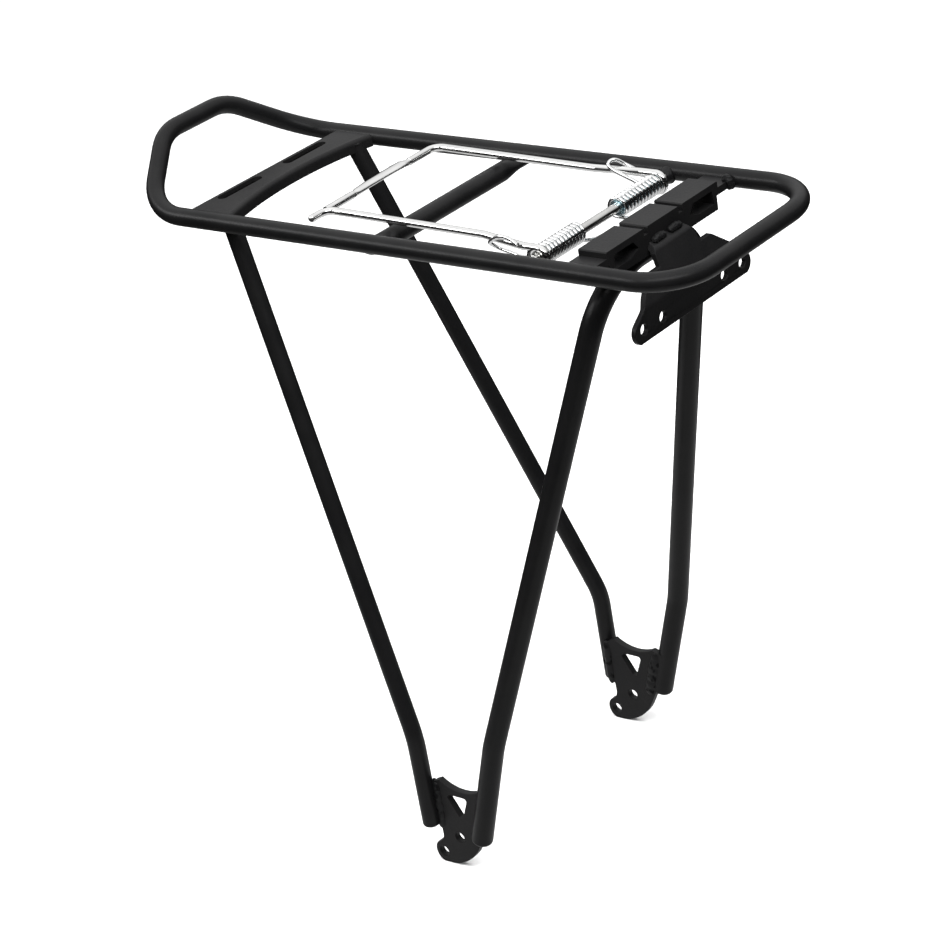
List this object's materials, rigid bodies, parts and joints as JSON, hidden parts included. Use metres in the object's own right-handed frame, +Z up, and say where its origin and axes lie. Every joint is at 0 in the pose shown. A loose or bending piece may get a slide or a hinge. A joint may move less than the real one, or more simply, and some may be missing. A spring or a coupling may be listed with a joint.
{
  "type": "bicycle rear luggage carrier",
  "caption": "Black tubular bicycle rear rack with a sprung chrome clamp bail, rear lamp bracket and dropout plates.",
  "frame": {"origin": "midpoint between the two upper dropout holes", "axes": "+X to the rear of the bicycle, +Y to its left, +Z up; the rails run along X"},
  "size_m": [0.3439, 0.171, 0.3633],
  "materials": {
    "black_coat": "satin",
    "bright_wire": "polished",
    "zinc_bush": "satin"
  },
  "bodies": {
    "frame": {"clamp_rod": "bright_wire", "dropout_far": "black_coat", "dropout_near": "black_coat", "front_leg_far": "black_coat", "front_leg_near": "black_coat", "front_plate": "black_coat", "lamp_bracket": "black_coat", "middle_tube": "black_coat", "rail_loop": "black_coat", "rear_block": "black_coat", "rear_hoop": "black_coat", "sleeve_far": "zinc_bush", "sleeve_near": "zinc_bush", "weld_block_far": "black_coat", "weld_block_near": "black_coat", "weld_neck_far": "black_coat", "weld_neck_near": "black_coat", "weld_rod_far": "black_coat", "weld_rod_near": "black_coat"},
    "clamp": {"bail_bar": "bright_wire", "bail_arm_near": "bright_wire", "spring_far": "bright_wire", "spring_near": "bright_wire"}
  },
  "joints": [
    {"name": "clamp_hinge", "type": "hinge", "parent": "frame", "child": "clamp", "pos_m": [0.0826, 0, 0.314], "axis": [0, 1, 0], "range_deg": [0, 105], "stiffness_Nm_per_rad": 0.25, "springref_deg": -22.92, "deforming": ["spring_far", "spring_near"]}
  ]
}
